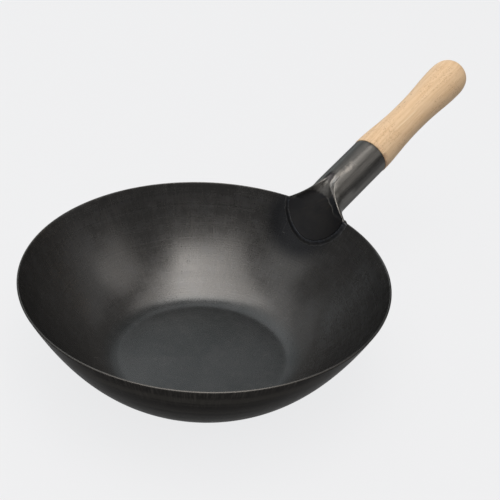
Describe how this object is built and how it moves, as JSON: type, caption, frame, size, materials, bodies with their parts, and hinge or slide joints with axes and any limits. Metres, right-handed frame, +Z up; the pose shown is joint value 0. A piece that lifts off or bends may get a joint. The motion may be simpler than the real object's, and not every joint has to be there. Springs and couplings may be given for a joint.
{
  "type": "wok",
  "caption": "Flat-bottomed carbon steel wok with a rolled steel handle socket, a flared tongue welded inside the rim, and a turned wooden grip.",
  "frame": {"origin": "centre of the flat base, on the surface that the wok stands on", "axes": "+Z up, +X towards the handle in plan, Y across"},
  "size_m": [0.541, 0.3196, 0.1794],
  "materials": {
    "bowl_steel": "blued and oiled carbon steel, satin",
    "socket_steel": "bare rolled sheet steel with a mill skin, satin",
    "ground_weld": "ground weld, heat tinted",
    "dark_weld": "as welded, dark",
    "beech": "turned and sanded beech, matt",
    "screw_steel": "zinc plated"
  },
  "bodies": {
    "root": {"bowl": "bowl_steel", "handle_socket": "socket_steel", "tongue_weld": "ground_weld", "flank_weld": "dark_weld", "wood_grip": "beech", "grip_screw": "screw_steel"}
  },
  "joints": []
}
